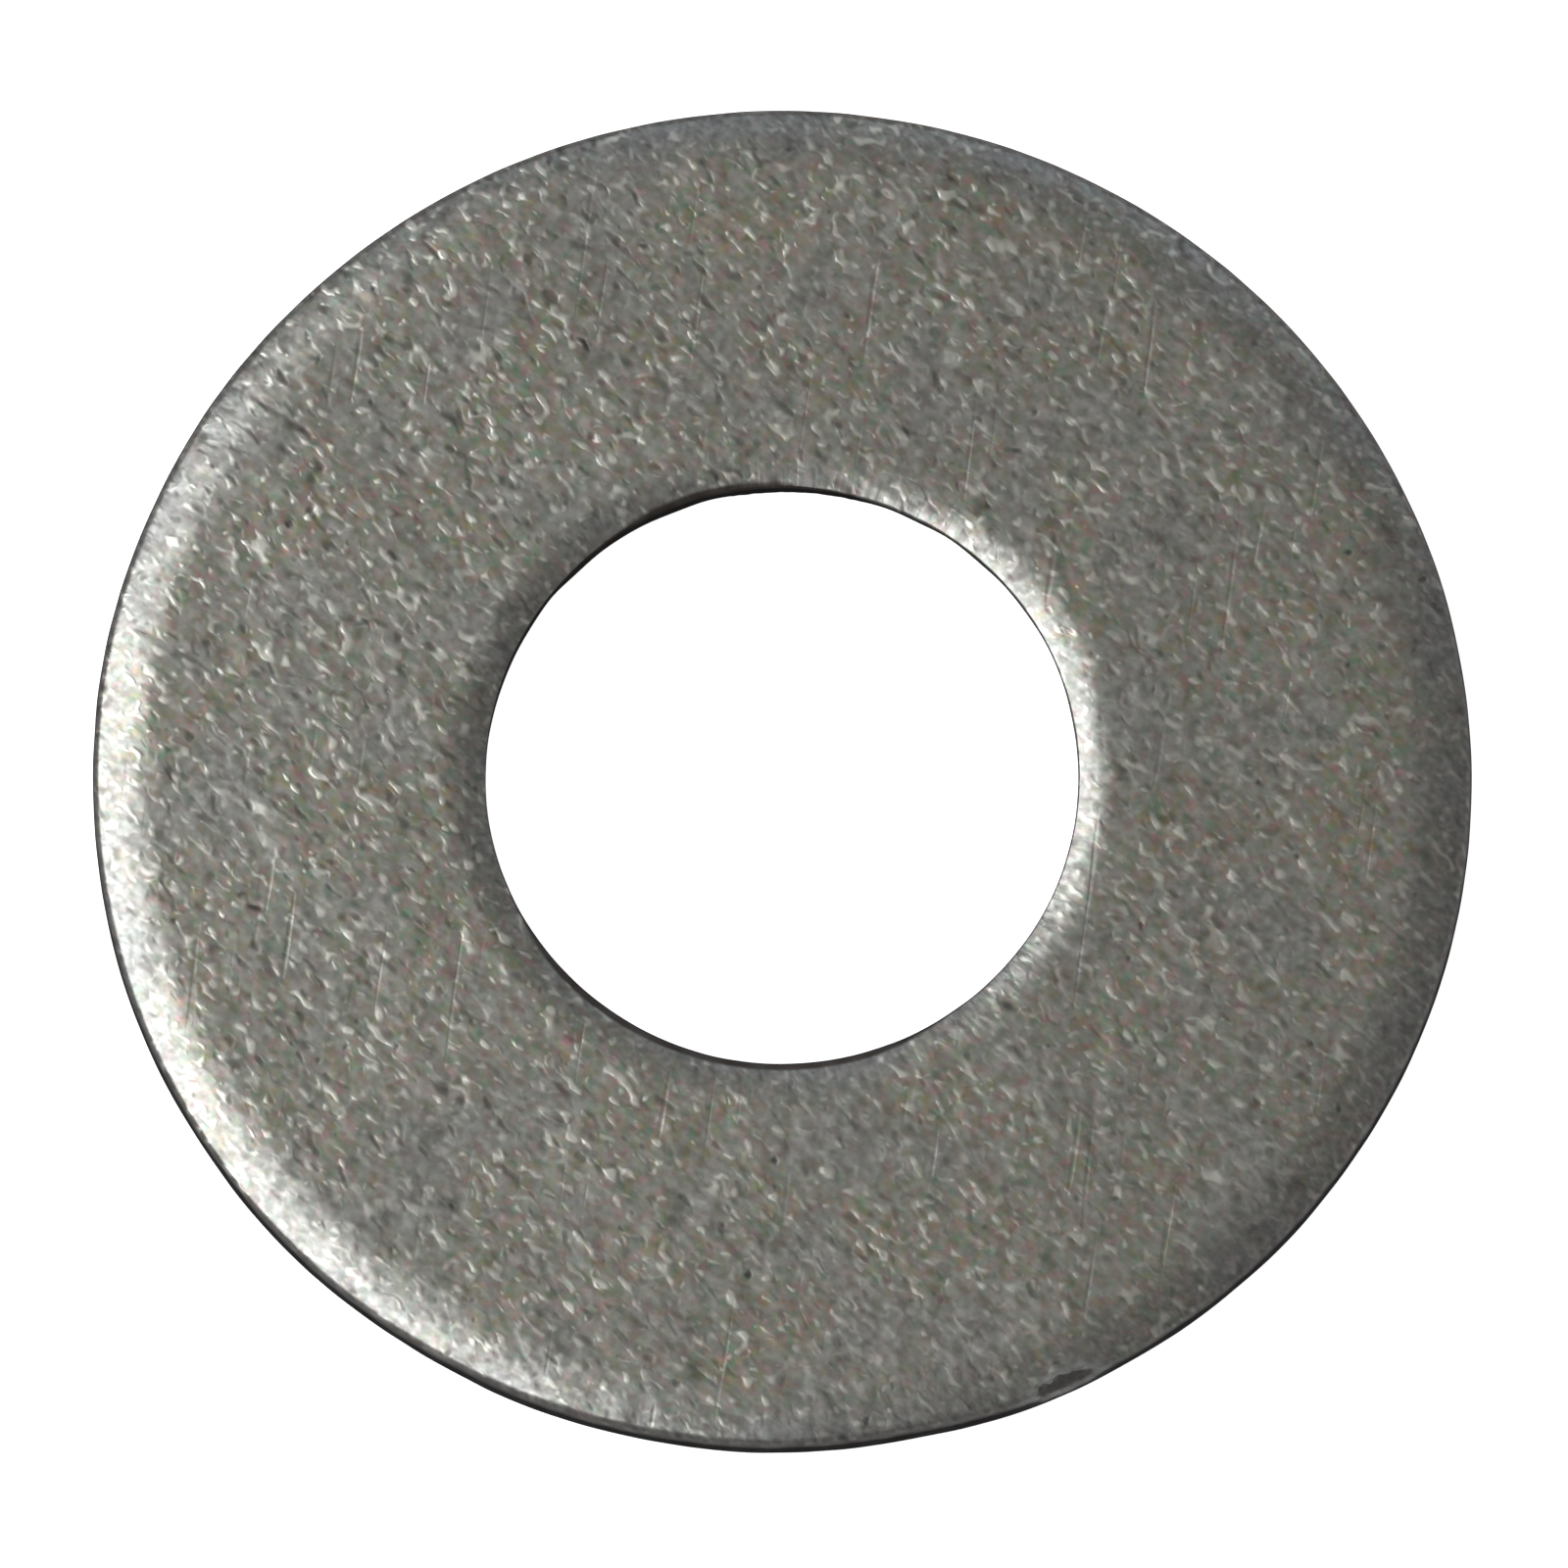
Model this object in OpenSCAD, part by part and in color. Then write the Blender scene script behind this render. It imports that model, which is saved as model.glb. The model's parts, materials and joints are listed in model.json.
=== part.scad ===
// Plain flat washer, blanked from sheet steel.
//
// Frame: the origin is the centre of the lower face, +Z runs up the axis of the hole.
// Units are millimetres.
//
// Blanking leaves the same section on the outside and in the hole. From the top down it is
// a rounded edge where the sheet was drawn in, a smooth upright band where it was sheared,
// and a rougher band where it broke away at a slight lean. The lower edges are worn blunt.

/* [Washer] */
// Outside diameter
outer_d = 22.225; // [21:0.005:24]
// Diameter of the hole at its narrowest
hole_d = 9.525; // [8.5:0.005:10.5]
// Thickness between the two flat faces
thickness = 1.65; // [1.5:0.01:2.6]

/* [Rounded upper edges] */
// Width of the rounding around the outside
outer_roll_w = 1.04; // [0.7:0.01:1.4]
// Width of the rounding around the hole
hole_roll_w = 0.69; // [0.4:0.01:1.2]
// Radius where the outer rounding turns down into its wall, which tumbling wears most
outer_corner_r = 0.20; // [0.1:0.01:0.3]
// Radius where the rounding of the hole turns down into its wall
hole_corner_r = 0.06; // [0.04:0.01:0.2]

/* [Sheared walls] */
// Height of the smooth band, as a share of the thickness
smooth_share = 0.18; // [0.12:0.01:0.4]
// Lean of the broken band away from upright, in degrees
break_lean = 14; // [4:0.5:16]
// Width and height of the worn lower edges
worn_edge = 0.06; // [0.03:0.01:0.1]

/* [Hidden] */
outer_r = outer_d / 2;
hole_r = hole_d / 2;
// The wide arc of a rounding turns by the small angle of a 7, 24, 25 triangle, about 16 degrees.
turn_sin = 7 / 25;
turn_cos = 24 / 25;
smooth_h = thickness * smooth_share;
outer_break_h = thickness - smooth_h - roll_h(outer_roll_w, outer_corner_r);
hole_break_h = thickness - smooth_h - roll_h(hole_roll_w, hole_corner_r);
cut_past = 0.2; // how far a cut runs on outside the metal
$fn = 180;

// Radius of the wide arc of a rounding that is w wide and ends in a corner of radius corner_r
function arc_r(w, corner_r) = corner_r + (w - corner_r) / turn_sin;

// Depth of that rounding
function roll_h(w, corner_r) = arc_r(w, corner_r) - (arc_r(w, corner_r) - corner_r) * turn_cos;

// What such a rounding takes off an upper edge. The sharp edge would be at [0, 0], with
// the metal on the left and below. A wide arc leaves the flat face, and a small arc,
// tangent to it and to the wall, turns down into the wall.
module roll_cut(w, corner_r) {
    wide_r = arc_r(w, corner_r);
    depth = roll_h(w, corner_r);
    meet_x = wide_r * turn_sin - w;
    meet_y = wide_r * turn_cos - wide_r;
    difference() {
        translate([-w, meet_y]) square([w + cut_past, cut_past - meet_y]);
        translate([-w, -wide_r]) circle(wide_r);
    }
    difference() {
        translate([meet_x, -depth]) square([cut_past - meet_x, depth + meet_y]);
        translate([-corner_r, -depth]) circle(corner_r);
    }
}

// What the broken band takes off below height h, down to the worn lower edge. The lower
// edge would be at [0, 0], with the metal on the left and above.
module break_cut(h) {
    foot = (h - worn_edge) * tan(break_lean);
    polygon([
        [0, h],
        [-foot, worn_edge],
        [-foot - worn_edge, 0],
        [-foot - worn_edge, -cut_past],
        [cut_past, -cut_past],
        [cut_past, h],
    ]);
}

// Half section of the ring, from the hole on the left to the outside on the right
module ring_section() {
    difference() {
        translate([hole_r, 0]) square([outer_r - hole_r, thickness]);
        translate([outer_r, thickness]) roll_cut(outer_roll_w, outer_corner_r);
        translate([hole_r, thickness]) mirror([1, 0]) roll_cut(hole_roll_w, hole_corner_r);
        translate([outer_r, 0]) break_cut(outer_break_h);
        translate([hole_r, 0]) mirror([1, 0]) break_cut(hole_break_h);
    }
}

module washer() {
    color("#8f8e88") rotate_extrude() ring_section();
}

washer();
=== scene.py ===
import json
import math

import bpy
import numpy as np
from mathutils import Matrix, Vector


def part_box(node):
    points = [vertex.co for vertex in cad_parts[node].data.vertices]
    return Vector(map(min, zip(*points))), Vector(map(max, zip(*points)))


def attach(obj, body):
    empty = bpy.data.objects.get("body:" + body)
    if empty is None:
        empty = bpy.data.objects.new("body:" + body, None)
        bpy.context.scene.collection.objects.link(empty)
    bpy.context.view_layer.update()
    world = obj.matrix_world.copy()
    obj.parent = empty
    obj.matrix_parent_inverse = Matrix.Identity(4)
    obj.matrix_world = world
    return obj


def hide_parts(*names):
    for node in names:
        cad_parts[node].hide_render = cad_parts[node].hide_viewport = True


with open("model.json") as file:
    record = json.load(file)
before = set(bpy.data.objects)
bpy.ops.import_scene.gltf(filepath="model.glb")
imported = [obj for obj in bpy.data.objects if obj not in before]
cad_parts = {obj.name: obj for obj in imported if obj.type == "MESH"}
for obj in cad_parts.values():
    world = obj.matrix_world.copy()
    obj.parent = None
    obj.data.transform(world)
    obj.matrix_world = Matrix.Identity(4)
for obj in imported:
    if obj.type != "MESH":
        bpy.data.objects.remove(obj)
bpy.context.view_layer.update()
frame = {"record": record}

# Lengths below are in millimetres unless a comment says otherwise.
MM = 0.001

# ---------------------------------------------------------------- sizes from the frame
washer_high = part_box("washer")[1]
bore = next(m for m in frame["record"]["mounts"] if m["name"] == "bore")
OUTER_R = washer_high.x / MM
THICKNESS = washer_high.z / MM
HOLE_R = bore["dims"]["r_mm"]
SMOOTH_H = bore["dims"]["length_mm"]
HOLE_ROLL_H = THICKNESS - bore["pos_m"][2] / MM - SMOOTH_H / 2

# ---------------------------------------------------------------- the section's other sizes
OUTER_CORNER_R = 0.20    # where the outer rounding turns down into its wall
HOLE_CORNER_R = 0.06     # the same around the hole
TURN_SIN, TURN_COS = 7 / 25, 24 / 25   # how far a rounding's wide arc turns
OUTER_ROLL_W = 1.04      # width of the rounding around the outside
BREAK_LEAN = math.radians(14)          # lean of the broken band from upright
WORN_EDGE = 0.06         # width and height of the worn lower edges
SOFT_START = 0.25        # how softly a rounding leaves the flat face

# How far some sizes vary around the ring
ROLL_W_VARIES = 0.04
OUTER_BREAK_VARIES = 0.10
HOLE_BREAK_VARIES = 0.08

# ---------------------------------------------------------------- damage
NICK_DEG = -65.7         # where the upper outer edge is nicked, as an angle around the ring
NICK_HALF_DEG = 5.8      # half its width
NICK_W = 0.30            # how far it reaches in on the upper face
NICK_H = 0.50            # how far it reaches down the wall
NICK_BLUNT = 0.7         # the smaller, the blunter its two ends
NICK_RAGGED = 0.2        # how much its depth varies, as a share
NICK_LIP = 0.025         # height of the metal pushed up along it
LIP_RAGGED = 0.8         # how much that height varies, as a share
NICK_FADE = 0.07         # the distance over which its facet and its lip fade out
FLAT_DEG, FLAT_HALF_DEG = -80, 13      # the slight flat beside it
FLAT_DEPTH = 0.05

# ---------------------------------------------------------------- soot and painted shade, 1 on the bore's wall, with painted light on its lit side
NICK_FACET_DARK = 0.62         # how much of the bore's dark colour the nick's facet takes
BROKEN_CLEANER = 0.45    # how much less soot and painted shade the bore's broken band takes
LIT_SIDE_DEG, LIT_SIDE_HALF_DEG = 24, 85     # the side of the bore that faces the light, and half its spread
LIT_SIDE_SHARE = 0.9        # how much of the soot and painted shade is left off there, as painted light
LIT_SIDE_PEAK = 1.6         # above 1, the lit part is even in its middle
LIT_SIDE_RISE = 0.19        # how much narrower its smooth band is there
BORE_SHADE = ((-105, 80, 1.5), (105, 42, 0.9))   # painted shade spreading up from the bore where it is shaded: angle, half spread, strength
BORE_SHADE_FROM = 0.70        # how far out on the rounding the painted shade starts
BORE_SHADE_RISE = 3.5         # how fast it grows from there

# ---------------------------------------------------------------- density of the mesh
SEGMENTS = 640
ANGLE_STEPS = 7200       # the fine steps that the segments are spaced by
FINE_SPREAD_DEG = 6      # how far from the nick the segments are closer
ROLL_ROWS, CORNER_ROWS, SMOOTH_ROWS, BREAK_ROWS, WORN_ROWS = 14, 9, 5, 10, 3
TOP_ROWS, UNDER_ROWS = 40, 38

dice = np.random.default_rng(11)


def roll_width(depth, corner_r):
    """Width of a rounding of that depth: its wide arc falls 1 in 7 between its ends."""
    return corner_r + (depth - corner_r) * TURN_SIN / (1 - TURN_COS)


def roll_depth(width, corner_r):
    """Depth of a rounding of that width."""
    return corner_r + (width - corner_r) * (1 - TURN_COS) / TURN_SIN


def off_centre(angles, centre_deg):
    """Angles around the ring as degrees from centre_deg, from -180 to 180."""
    return (np.degrees(angles) - centre_deg + 180) % 360 - 180


def ring_angles():
    """The angles of the segments around the ring, three times as close around the nick."""
    even = np.linspace(0, 2 * math.pi, ANGLE_STEPS, endpoint=False)
    density = 1 + 2 * np.exp(-(off_centre(even, NICK_DEG) / FINE_SPREAD_DEG) ** 2)
    total = np.concatenate([[0], np.cumsum(density)])
    wanted = np.linspace(0, total[-1], SEGMENTS, endpoint=False)
    return np.interp(wanted, total, np.append(even, 2 * math.pi))


turn = ring_angles()


def wander(size, slowest, fastest):
    """A smooth random curve around the ring, from -size to size, of slowest to fastest waves."""
    waves = np.arange(slowest, fastest + 1)
    phases = dice.uniform(0, 2 * math.pi, len(waves))
    heights = dice.uniform(0.4, 1, len(waves)) / np.sqrt(waves)
    curve = (heights[:, None] * np.cos(waves[:, None] * turn + phases[:, None])).sum(0)
    return size * curve / np.abs(curve).max()


def hump(centre_deg, half_width_deg):
    """1 at an angle around the ring, falling smoothly to 0 at half_width_deg to either side."""
    off = off_centre(turn, centre_deg) / half_width_deg
    return np.cos(np.clip(off, -1, 1) * math.pi / 2) ** 2


# ---------------------------------------------------------------- the ring's mesh
def edge_rows(wall_r, side, corner_r, roll_w, break_z):
    """The rows of one edge of the ring, from its flat top down to its flat bottom.

    side is 1 for the outside and -1 for the hole. roll_w and break_z vary around the ring.
    Gives radius and height as (rows, SEGMENTS), and each row's share of rim, wall and break.
    """
    wide_r = corner_r + (roll_w - corner_r) / TURN_SIN
    roll_h = roll_depth(roll_w, corner_r)
    wide_turn = math.asin(TURN_SIN)
    foot = (break_z - WORN_EDGE) * math.tan(BREAK_LEAN)
    inset, height, shares = [], [], []

    def add(row_inset, row_height, rim, wall, broken):
        inset.append(row_inset + 0 * turn)
        height.append(row_height + 0 * turn)
        shares.append((rim, wall, broken))

    # The first rows lie on the flat face, where the rounding's soft start reaches.
    reach = wide_r * math.sin(wide_turn)
    for share in np.linspace(-0.5, 1, ROLL_ROWS, endpoint=False):
        x = share * reach
        soft = SOFT_START * (1 - share) / 2
        bend = (x + np.sqrt(x ** 2 + soft ** 2)) / 2
        fall = wide_r - np.sqrt(wide_r ** 2 - bend ** 2)
        add(roll_w - x, THICKNESS - fall, max(0, share), 0, 0)
    for a in np.linspace(wide_turn, math.pi / 2, CORNER_ROWS, endpoint=False):
        level = THICKNESS - roll_h + corner_r * math.cos(a)
        turned = (a - wide_turn) / (math.pi / 2 - wide_turn)
        add(corner_r * (1 - math.sin(a)), level, 1, turned, 0)
    for share in np.linspace(0, 1, SMOOTH_ROWS, endpoint=False):
        top = THICKNESS - roll_h
        add(0, top + share * (break_z - top), 1, 1, 0)
    # The surface is fully torn from a quarter of the way down the broken band.
    for share in np.linspace(0, 1, BREAK_ROWS, endpoint=False):
        add(share * foot, break_z + share * (WORN_EDGE - break_z), 1, 1, min(1, 4 * share))
    for share in np.linspace(0, 1, WORN_ROWS):
        worn_in = 1 - math.cos(share * math.pi / 2)
        worn_z = WORN_EDGE * (1 - math.sin(share * math.pi / 2))
        add(foot + worn_in * WORN_EDGE, worn_z, 1 - share, 1 - share, 1 - share)
    radius = wall_r - side * np.array(inset)
    return radius, np.array(height), np.array(shares)


def across(first, last, rows):
    """Rows evenly between two rings of radii, without those two."""
    share = np.linspace(0, 1, rows + 2)[1:-1, None]
    return first + share * (last - first)


def section_rows(lit_side):
    """Radius, height and shares of the whole section's rows, and how many are the bore's edge."""
    outer_w = OUTER_ROLL_W + wander(ROLL_W_VARIES, 2, 12)
    hole_w = roll_width(HOLE_ROLL_H, HOLE_CORNER_R) + wander(ROLL_W_VARIES, 2, 12)
    outer_roll_h = roll_depth(OUTER_ROLL_W, OUTER_CORNER_R)
    outer_break = THICKNESS - outer_roll_h - SMOOTH_H + wander(OUTER_BREAK_VARIES, 3, 40)
    hole_break = THICKNESS - HOLE_ROLL_H - SMOOTH_H + wander(HOLE_BREAK_VARIES, 3, 30)
    hole_break = hole_break + LIT_SIDE_RISE * lit_side
    outer_r, outer_z, outer_shares = edge_rows(OUTER_R, 1, OUTER_CORNER_R, outer_w, outer_break)
    hole_r, hole_z, hole_shares = edge_rows(HOLE_R, -1, HOLE_CORNER_R, hole_w, hole_break)
    outer_r -= FLAT_DEPTH * hump(FLAT_DEG, FLAT_HALF_DEG)
    top_r = across(hole_r[0], outer_r[0], TOP_ROWS)
    under_r = across(outer_r[-1], hole_r[-1], UNDER_ROWS)
    radius = np.concatenate([hole_r[::-1], top_r, outer_r, under_r])
    height = np.concatenate([hole_z[::-1], top_r * 0 + THICKNESS, outer_z, under_r * 0])
    flat_top, flat_under = np.zeros((TOP_ROWS, 3)), np.zeros((UNDER_ROWS, 3))
    shares = np.concatenate([hole_shares[::-1], flat_top, outer_shares, flat_under])
    return radius, height, shares[:, None, :] + 0 * turn[:, None], len(hole_z)


def nick_limit(height):
    """The largest radius that the nick leaves at a height, around the ring."""
    ragged = 1 + NICK_RAGGED * wander(1, 90, 300)
    reach = hump(NICK_DEG, NICK_HALF_DEG) ** NICK_BLUNT * ragged
    above_foot = np.clip((height - THICKNESS) / NICK_H + reach, 0, None)
    return np.where(reach > 0, OUTER_R - NICK_W * above_foot, 2 * OUTER_R)


def ring_grid():
    """Points of the whole section around the ring, and what the material needs to know at each."""
    lit_side = np.clip(LIT_SIDE_PEAK * hump(LIT_SIDE_DEG, LIT_SIDE_HALF_DEG), 0, 1)
    radius, height, shares, hole_rows = section_rows(lit_side)
    rim, wall, broken = shares[..., 0], shares[..., 1], shares[..., 2]

    # Soot on the bore's wall, and painted shade spreading up from it over its rounding where the
    # bore is shaded; the side facing the light is left lighter, as painted light.
    bore_rows = slice(0, hole_rows)
    bore_shade = sum(strength * hump(centre, half) for centre, half, strength in BORE_SHADE)
    bore_shade = np.clip(bore_shade, 0, 1)
    spread = BORE_SHADE_RISE * bore_shade * np.clip(rim[bore_rows] - BORE_SHADE_FROM, 0, None)
    # Painted light: on the side of the bore facing the light, its wall keeps little of its dark
    # colour.
    wall[bore_rows] *= 1 - LIT_SIDE_SHARE * lit_side
    # The bore's wall takes soot, and the painted shade above adds to it.
    soot_and_shade = np.zeros(radius.shape)
    soot_and_shade[bore_rows] = np.clip(wall[bore_rows] + spread, 0, 1)
    soot_and_shade[bore_rows] *= 1 - BROKEN_CLEANER * broken[bore_rows]

    limit = nick_limit(height)
    cut = np.clip((radius - limit) / NICK_FADE, 0, 1)
    lip = np.exp(-((radius - limit) / NICK_FADE) ** 2) * (height > THICKNESS - NICK_H)
    lip = lip * hump(NICK_DEG, NICK_HALF_DEG) * (1 + wander(LIP_RAGGED, 60, 250))
    radius = np.minimum(radius, limit)
    height = height + NICK_LIP * lip
    points = np.stack([radius * np.cos(turn), radius * np.sin(turn), height], axis=-1)
    looks = {"rim": rim, "wall": wall * (1 - cut), "broken": broken * (1 - cut)}
    looks["soot_and_shade"] = np.maximum(soot_and_shade, NICK_FACET_DARK * cut)
    looks["lip"] = lip * (1 - cut)
    return points, looks


def outward(points):
    """Unit normals of a closed grid of points."""
    along = np.roll(points, -1, 0) - np.roll(points, 1, 0)
    around = np.roll(points, -1, 1) - np.roll(points, 1, 1)
    normal = np.cross(along, around)
    return normal / np.linalg.norm(normal, axis=-1, keepdims=True)


def ripple(points, shortest, longest, size, count=60, stretch=(1, 1, 1)):
    """Random relief of rms size at the points, from waves of those lengths in every direction."""
    total = 0
    for _ in range(count):
        way = dice.normal(size=3) / stretch
        way /= np.linalg.norm(way * stretch)
        length = dice.uniform(shortest, longest)
        phase = dice.uniform(0, 2 * math.pi)
        total = total + np.cos(points @ way * (2 * math.pi / length) + phase)
    return total * size * math.sqrt(2 / count)


def dings(points, count, least_r, most_r, depth):
    """Shallow round hollows where the washers knocked together, scattered over both faces."""
    total = np.zeros(points.shape[:2])
    for _ in range(count):
        r = math.sqrt(dice.uniform(HOLE_R ** 2, OUTER_R ** 2))
        a = dice.uniform(0, 2 * math.pi)
        z = dice.choice([0, THICKNESS])
        size = dice.uniform(least_r, most_r)
        centre = np.array([r * math.cos(a), r * math.sin(a), z])
        gap = np.linalg.norm(points - centre, axis=-1) / size
        total += dice.uniform(0.3, 1) * depth * np.exp(-2.5 * gap ** 2)
    return total


def roughen(points, broken):
    """Moves the surface in by its relief, nowhere outside the true section."""
    waviness = ripple(points, 2.5, 6, size=0.004)
    relief = waviness + ripple(points, 0.55, 1.3, size=0.0016, count=120)
    relief -= dings(points, 160, least_r=0.2, most_r=0.55, depth=0.008)
    torn = ripple(points, 0.15, 0.5, size=0.004, count=120, stretch=(1, 1, 3))
    relief += broken * (torn - 0.008)
    ceiling = np.percentile(relief, 99.5)
    return points + outward(points) * np.minimum(relief - ceiling, 0)[..., None]


def grid_mesh(name, points):
    """A closed mesh from a grid of points that wraps both ways."""
    rows, columns = points.shape[:2]
    index = np.arange(rows * columns).reshape(rows, columns)
    right = np.roll(index, -1, 1)
    corners = [index, np.roll(index, -1, 0), np.roll(right, -1, 0), right]
    quads = np.stack(corners, -1).reshape(-1, 4)
    mesh = bpy.data.meshes.new(name)
    mesh.from_pydata((points.reshape(-1, 3) * MM).tolist(), [], quads.tolist())
    mesh.shade_smooth()
    return mesh


def paint(mesh, name, values):
    """Gives the material a value at each point of the mesh, by name."""
    layer = mesh.attributes.new(name, "FLOAT", "POINT")
    layer.data.foreach_set("value", values.astype(np.float32).ravel())


def make_ring():
    points, looks = ring_grid()
    points = roughen(points, looks["broken"])
    points[..., 2] -= points[..., 2].min()
    mesh = grid_mesh("washer_body", points)
    for look, values in looks.items():
        paint(mesh, look, values)
    ring = bpy.data.objects.new("washer_body", mesh)
    bpy.context.scene.collection.objects.link(ring)
    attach(ring, "root")
    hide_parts("washer")
    return ring


# ---------------------------------------------------------------- material
# Colours of the face
GREENISH = (0.295, 0.455, 0.31, 1)
REDDISH = (0.62, 0.36, 0.35, 1)
YELLOWISH = (0.48, 0.44, 0.20, 1)
CLOUDED = (0.30, 0.29, 0.27, 1)
PALE = (0.62, 0.60, 0.55, 1)
RUBBED = (0.49, 0.49, 0.485, 1)
FLECKED = (0.21, 0.205, 0.195, 1)
# Painted glints, on the burrs
GLINT = (0.95, 0.92, 0.81, 1)
SCORED = (0.11, 0.095, 0.085, 1)
# A painted highlight along the nick's pushed-up lip
LIP_HIGHLIGHT = (0.86, 0.88, 0.86, 1)
# Colours of the walls, darkest and lightest
TORN = (0.11, 0.09, 0.08, 1), (0.37, 0.345, 0.315, 1)
SHEARED = (0.20, 0.18, 0.165, 1), (0.36, 0.35, 0.33, 1)
# Soot of the bore's wall, which also serves as its painted shade
SOOT_AND_SHADE_COLOURS = (0.05, 0.037, 0.03, 1), (0.17, 0.15, 0.135, 1)
SETS_IN = (0.40, 0.75)   # the shares of wall, or of soot and painted shade, between which its colour takes over

# Marks of tumbling: the way they lie in degrees, length, width, and how rare they are
STROKES = (-52, 0.27, 0.15, 0.61), (-30, 0.38, 0.22, 0.62)
BURRS = (-46, 0.25, 0.15, 0.59), (-36, 0.19, 0.13, 0.65)
SCRATCHES = 82, 1.9, 0.13, 0.72
PITS = 0, 0.21, 0.21, 0.74
MARK_RAMP = 0.28         # the rise of noise from a mark's edge to its middle
MARK_BEND = 0.14         # how far the marks are bent out of line

# Heights of the relief that is too fine for the mesh
GRAIN_HEIGHT = 0.0140
STROKE_HEIGHT = -0.0030
BURR_HEIGHT = 0.0034
PIT_HEIGHT = -0.005
SCRATCH_HEIGHT = -0.003
RIB_HEIGHT = 0.004


class Graph:
    """Short ways to add nodes to a material's or the world's tree."""

    def __init__(self, tree):
        self.tree = tree

    def node(self, kind, **settings):
        made = self.tree.nodes.new(kind)
        for key, value in settings.items():
            setattr(made, key, value)
        return made

    def feed(self, socket, value):
        if isinstance(value, bpy.types.NodeSocket):
            self.tree.links.new(value, socket)
        else:
            socket.default_value = value

    def maths(self, operation, *values):
        made = self.node("ShaderNodeMath", operation=operation)
        for socket, value in zip(made.inputs, values):
            self.feed(socket, value)
        return made.outputs[0]

    def times(self, first, second):
        return self.maths("MULTIPLY", first, second)

    def vector(self, operation, *values):
        made = self.node("ShaderNodeVectorMath", operation=operation)
        for socket, value in zip(made.inputs, values):
            self.feed(socket, value)
        return made.outputs[0]

    def split(self, vector):
        """The X, Y and Z of a vector, as the node's outputs."""
        made = self.node("ShaderNodeSeparateXYZ")
        self.feed(made.inputs[0], vector)
        return made.outputs

    def total(self, *terms):
        """Sum of value times weight over (value, weight) pairs."""
        result = 0.0
        for value, weight in terms:
            result = self.maths("MULTIPLY_ADD", value, weight, result)
        return result

    def noise(self, where, scale, detail, roughness=0.5, output="Fac"):
        made = self.node("ShaderNodeTexNoise")
        self.feed(made.inputs["Vector"], where)
        self.feed(made.inputs["Scale"], scale)
        self.feed(made.inputs["Detail"], detail)
        self.feed(made.inputs["Roughness"], roughness)
        return made.outputs[output]

    def between(self, value, low, high):
        """0 at low, 1 at high, smooth between them and held outside them."""
        made = self.node("ShaderNodeMapRange", interpolation_type="SMOOTHSTEP")
        self.feed(made.inputs["Value"], value)
        self.feed(made.inputs["From Min"], low)
        self.feed(made.inputs["From Max"], high)
        return made.outputs["Result"]

    def spread(self, value, reach):
        """A noise value as 0 at reach below its middle to 1 at reach above it."""
        made = self.node("ShaderNodeMapRange")
        self.feed(made.inputs["Value"], value)
        self.feed(made.inputs["From Min"], 0.5 - reach)
        self.feed(made.inputs["From Max"], 0.5 + reach)
        return made.outputs["Result"]

    def placed(self, where, turn_deg=0.0, scale=(1, 1, 1)):
        """Coordinates turned about the ring's axis and then scaled."""
        turned = self.node("ShaderNodeMapping")
        self.feed(turned.inputs["Vector"], where)
        turned.inputs["Rotation"].default_value = (0, 0, math.radians(turn_deg))
        return self.vector("MULTIPLY", turned.outputs[0], scale)

    def marks(self, where, lie_deg, length, width, least):
        """Scattered long marks, 1 at the middles of the deepest. The greater least, the fewer."""
        lying = self.placed(where, -lie_deg, (1 / length, 1 / width, 1 / width))
        return self.between(self.noise(lying, 1.0, 0.0), least, least + MARK_RAMP)

    def mix(self, share, first, second):
        made = self.node("ShaderNodeMix", data_type="RGBA")
        self.feed(made.inputs["Factor"], share)
        self.feed(made.inputs[6], first)
        self.feed(made.inputs[7], second)
        return made.outputs[2]

    def attribute(self, name):
        return self.node("ShaderNodeAttribute", attribute_name=name).outputs["Fac"]


def wear_marks(g, mm):
    """Marks of tumbling: most lie one way, as if the washer was rubbed on a belt."""
    warp = g.noise(mm, 2.6, 1.0, output="Color")
    bent = g.vector("MULTIPLY_ADD", warp, (MARK_BEND,) * 3, mm)
    flipped = g.placed(bent, 0, (1, 1, -1))
    patches = g.noise(mm, 0.6, 3.0, 0.55)

    # One side of the washer is marked more than the other, and the clouded patches less.
    place = g.split(mm)
    busy = g.total((place["X"], -0.016), (place["Y"], 0.012), (1.0, 0.82))
    fewer = g.total((g.spread(patches, 0.14), -0.8), (1.0, 1.4))
    strokes = g.maths("ADD", g.marks(bent, *STROKES[0]), g.marks(bent, *STROKES[1]))
    burrs = g.maths("ADD", g.marks(flipped, *BURRS[0]), g.marks(bent, *BURRS[1]))
    return {
        "strokes": g.times(strokes, busy),
        "burrs": g.times(g.times(burrs, busy), fewer),
        "scratches": g.marks(mm, *SCRATCHES),
        "pits": g.marks(mm, *PITS),
        "patches": patches,
        "grain": g.noise(g.placed(mm, 35, (2.2, 3.4, 3.0)), 1.0, 1.0),
        "speckle": g.noise(mm, 5.0, 1.5),
        "flecks": g.noise(g.placed(mm, 40, (7.0, 9.5, 8.0)), 1.0, 1.0),
    }


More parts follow.
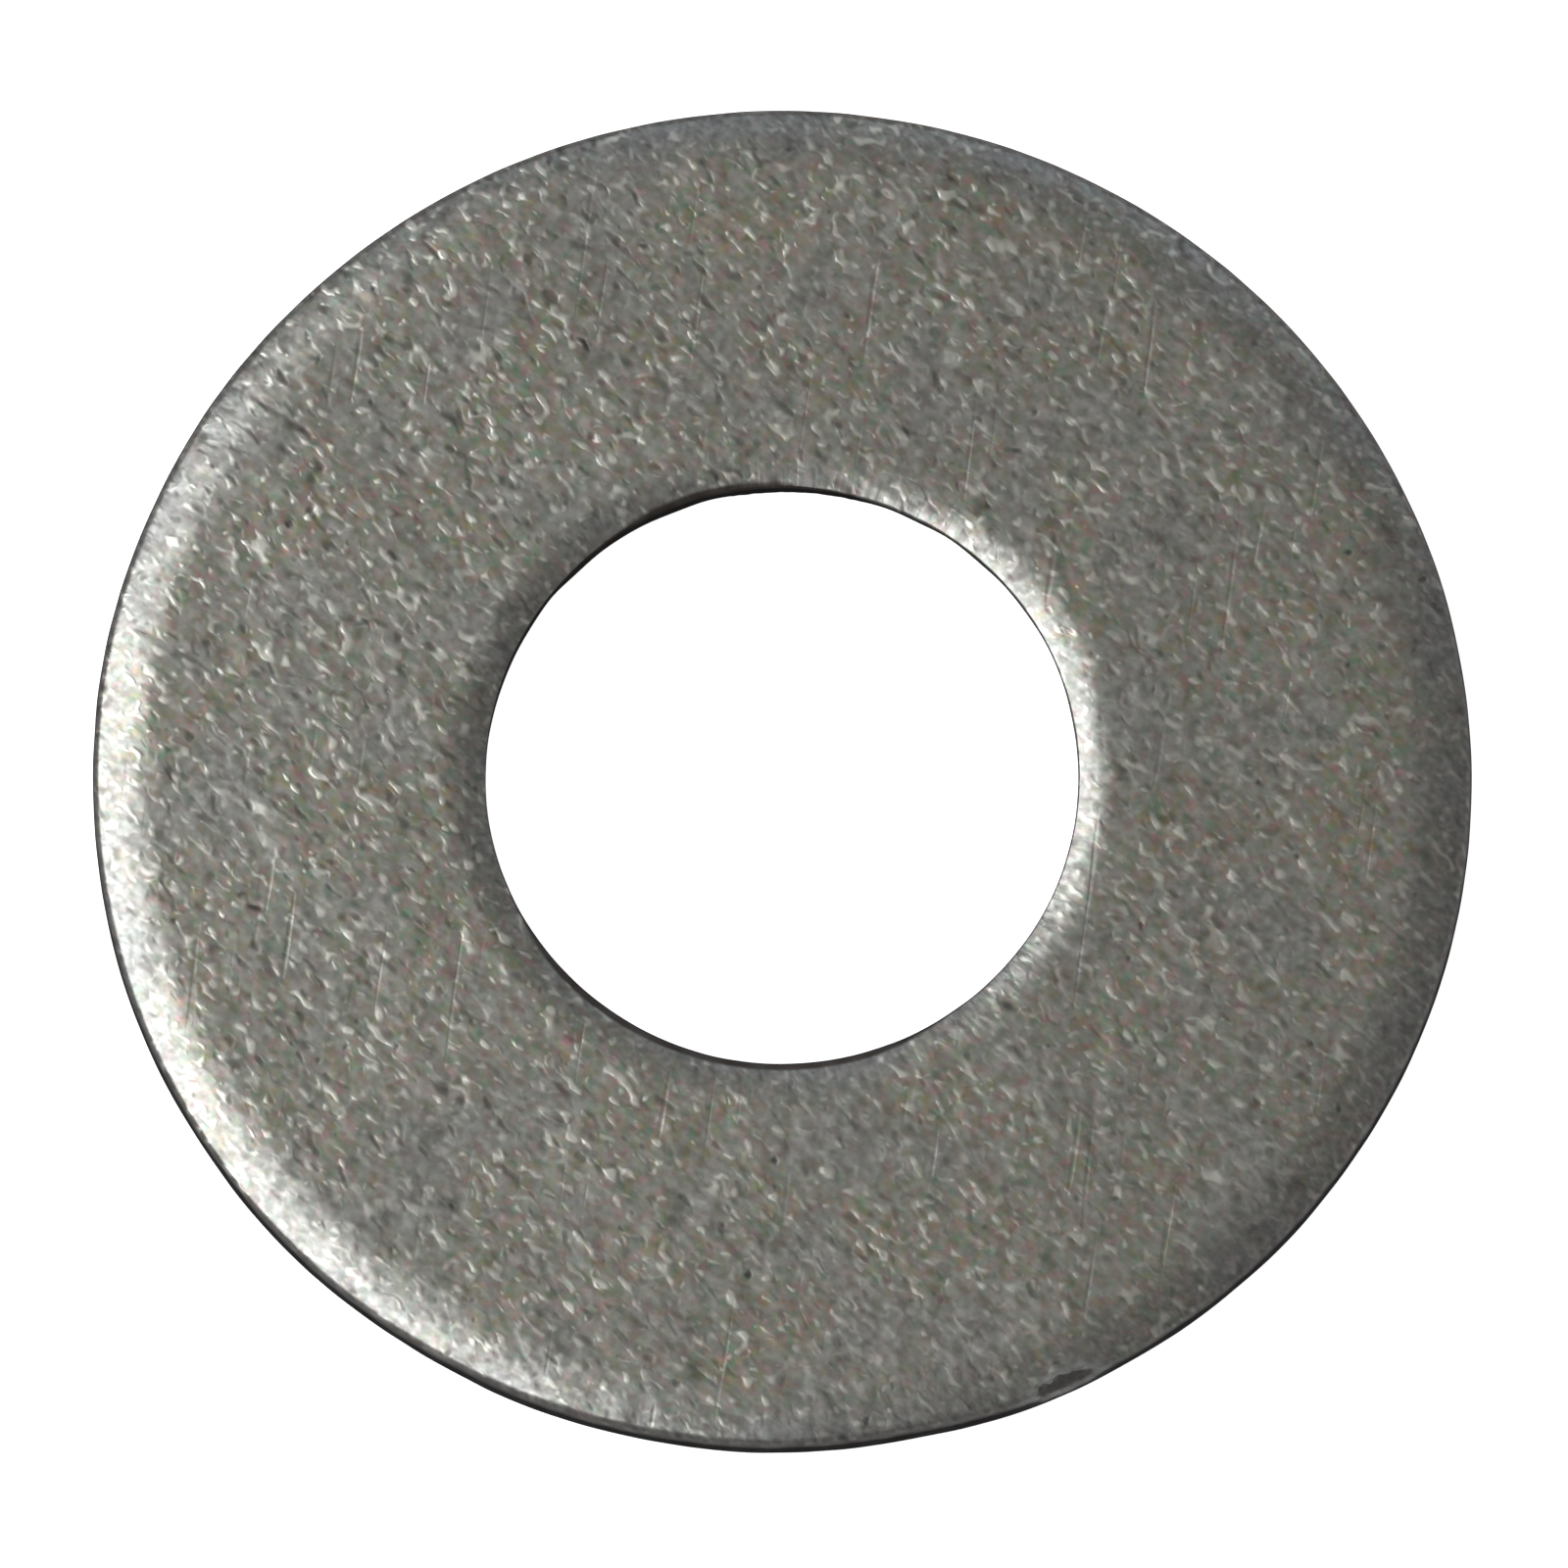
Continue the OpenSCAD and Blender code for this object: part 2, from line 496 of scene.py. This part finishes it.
def fine_relief(g, mm, wear, rim):
    """The bump of the marks, and of the ribs that drawing in leaves across a rounding."""
    drawn = g.vector("NORMALIZE", g.placed(mm, scale=(1, 1, 0)))
    ribs = g.times(g.noise(drawn, 60.0, 1.0), rim)
    height = g.total((wear["grain"], GRAIN_HEIGHT), (wear["strokes"], STROKE_HEIGHT),
                     (wear["burrs"], BURR_HEIGHT), (wear["pits"], PIT_HEIGHT),
                     (wear["scratches"], SCRATCH_HEIGHT), (ribs, RIB_HEIGHT))
    bump = g.node("ShaderNodeBump")
    bump.inputs["Strength"].default_value = 1.0
    bump.inputs["Distance"].default_value = MM
    g.feed(bump.inputs["Height"], height)
    return bump.outputs[0]


def face_colour(g, mm, wear, rim):
    """Grey with faint tints, clouds and flecks, painted glints on the burrs, and the dark strokes
    and pits.
    """
    warm = g.noise(mm, 4.4, 2.0, 0.6)
    yellow = g.noise(g.placed(mm, 20), 5.0, 2.0, 0.6)
    colour = g.mix(g.spread(warm, 0.11), GREENISH, REDDISH)
    colour = g.mix(g.times(g.spread(yellow, 0.11), 0.65), colour, YELLOWISH)
    colour = g.mix(g.times(g.spread(wear["patches"], 0.12), 0.8), colour, CLOUDED)
    colour = g.mix(g.times(g.spread(wear["speckle"], 0.16), 0.75), colour, PALE)
    colour = g.mix(g.times(rim, 0.45), colour, RUBBED)
    flecked = g.times(g.spread(wear["flecks"], 0.16), g.total((rim, 0.30), (1.0, 0.30)))
    colour = g.mix(flecked, colour, FLECKED)
    # Painted glints on the burrs.
    colour = g.mix(g.maths("MINIMUM", wear["burrs"], 0.95), colour, GLINT)
    scored = g.maths("MINIMUM", g.total((wear["strokes"], 0.62), (wear["pits"], 1.1)), 0.9)
    return g.mix(scored, colour, SCORED)


def steel():
    """Tumbled steel, with torn and sheared walls, soot and painted shade in the bore, and a painted
    highlight along the nick's lip.
    """
    material = bpy.data.materials.new("tumbled_steel")
    material.use_nodes = True
    g = Graph(material.node_tree)
    shader = material.node_tree.nodes["Principled BSDF"]
    mm = g.placed(g.node("ShaderNodeTexCoord").outputs["Object"], scale=(1 / MM,) * 3)
    rim, wall, broken = g.attribute("rim"), g.attribute("wall"), g.attribute("broken")
    wear = wear_marks(g, mm)
    g.feed(shader.inputs["Normal"], fine_relief(g, mm, wear, rim))

    torn = g.mix(g.spread(wear["speckle"], 0.2), *TORN)
    sheared = g.mix(g.spread(wear["grain"], 0.2), *SHEARED)
    side = g.mix(broken, sheared, torn)
    soot_and_shade_colour = g.mix(wear["grain"], *SOOT_AND_SHADE_COLOURS)
    colour = g.mix(g.between(wall, *SETS_IN), face_colour(g, mm, wear, rim), side)
    # Soot and painted shade in the bore, darkest where the bore is shaded.
    colour = g.mix(g.between(g.attribute("soot_and_shade"), *SETS_IN), colour, soot_and_shade_colour)
    # Painted highlight along the nick's lip.
    colour = g.mix(g.times(g.attribute("lip"), 0.8), colour, LIP_HIGHLIGHT)
    g.feed(shader.inputs["Base Color"], colour)
    shader.inputs["Metallic"].default_value = 1.0
    roughness = g.total((wear["speckle"], -0.08), (wear["patches"], 0.14), (broken, 0.15),
                        (1.0, 0.29))
    g.feed(shader.inputs["Roughness"], roughness)
    return material


# ---------------------------------------------------------------- stage
def make_floor():
    """A white floor in metres, just under the washer, that its metal doesn't mirror."""
    half = 0.6
    below = 0.00002
    mesh = bpy.data.meshes.new("floor")
    corners = [(-half, -half, 0), (half, -half, 0), (half, half, 0), (-half, half, 0)]
    mesh.from_pydata(corners, [], [(0, 1, 2, 3)])
    floor = bpy.data.objects.new("floor", mesh)
    floor.location.z = -below
    bpy.context.scene.collection.objects.link(floor)
    material = bpy.data.materials.new("floor_white")
    material.use_nodes = True
    shader = material.node_tree.nodes["Principled BSDF"]
    shader.inputs["Base Color"].default_value = (0.9, 0.9, 0.9, 1)
    shader.inputs["Roughness"].default_value = 0.8
    shader.inputs["Specular IOR Level"].default_value = 0.2
    shader.inputs["Emission Color"].default_value = (1, 1, 1, 1)
    shader.inputs["Emission Strength"].default_value = 0.93
    mesh.materials.append(material)
    floor.visible_glossy = False


def softbox(name, toward, distance, size, brightness, colour):
    """An area light in the direction toward from the washer, facing it, with sizes in metres.

    brightness is its radiance.
    """
    light = bpy.data.lights.new(name, "AREA")
    light.shape = "RECTANGLE"
    light.size, light.size_y = size
    light.energy = brightness * math.pi * size[0] * size[1]
    light.color = colour
    holder = bpy.data.objects.new(name, light)
    bpy.context.scene.collection.objects.link(holder)
    direction = Vector(toward).normalized()
    holder.location = direction * distance
    holder.rotation_euler = direction.to_track_quat("Z", "Y").to_euler()
    holder.visible_camera = False


def make_lights():
    """A cool softbox at the upper left, which the rounded edges mirror, and a weak one behind."""
    softbox("key", toward=(-0.607, -0.04, 0.791), distance=0.20, size=(0.22, 0.18),
            brightness=2.65, colour=(0.92, 0.96, 1.0))
    softbox("far_side", toward=(0.15, 0.75, 0.65), distance=0.5, size=(0.5, 0.25),
            brightness=0.30, colour=(0.72, 0.84, 1.0))


def make_world():
    """A grey studio that is darkest straight down and lightest at the horizon."""
    below = (0.03, 0.03, 0.032, 1)
    horizon = (0.26, 0.26, 0.27, 1)
    above = (0.185, 0.185, 0.185, 1)
    world = bpy.data.worlds.new("studio")
    bpy.context.scene.world = world
    world.use_nodes = True
    g = Graph(world.node_tree)
    up = g.split(g.node("ShaderNodeTexCoord").outputs["Generated"])["Z"]
    colour = g.mix(g.between(up, -0.90, -0.55), below, horizon)
    colour = g.mix(g.between(up, 0.0, 0.7), colour, above)
    g.feed(world.node_tree.nodes["Background"].inputs["Color"], colour)


def make_camera():
    """A long lens, so that the ring shows nearly no perspective, from the front at 76 degrees up."""
    elevation = math.radians(76.0)
    lens, sensor = 1000.0, 36.0
    view_width = 25.23
    right_of_centre, below_centre = 0.03, 0.175
    distance = view_width * lens / sensor
    camera = bpy.data.cameras.new("camera")
    camera.lens = lens
    camera.sensor_width = sensor
    camera.clip_start, camera.clip_end = 0.01, 5.0   # metres
    holder = bpy.data.objects.new("camera", camera)
    bpy.context.scene.collection.objects.link(holder)
    back = Vector((0, -math.cos(elevation), math.sin(elevation)))
    up = Vector((0, math.sin(elevation), math.cos(elevation)))
    target = Vector((right_of_centre, 0, THICKNESS)) - below_centre * up
    holder.location = (target + back * distance) * MM
    holder.rotation_euler = back.to_track_quat("Z", "Y").to_euler()
    bpy.context.scene.camera = holder


make_camera()
ring = make_ring()
ring.data.materials.append(steel())
make_floor()
make_world()
make_lights()
bpy.context.scene.view_settings.view_transform = "Standard"
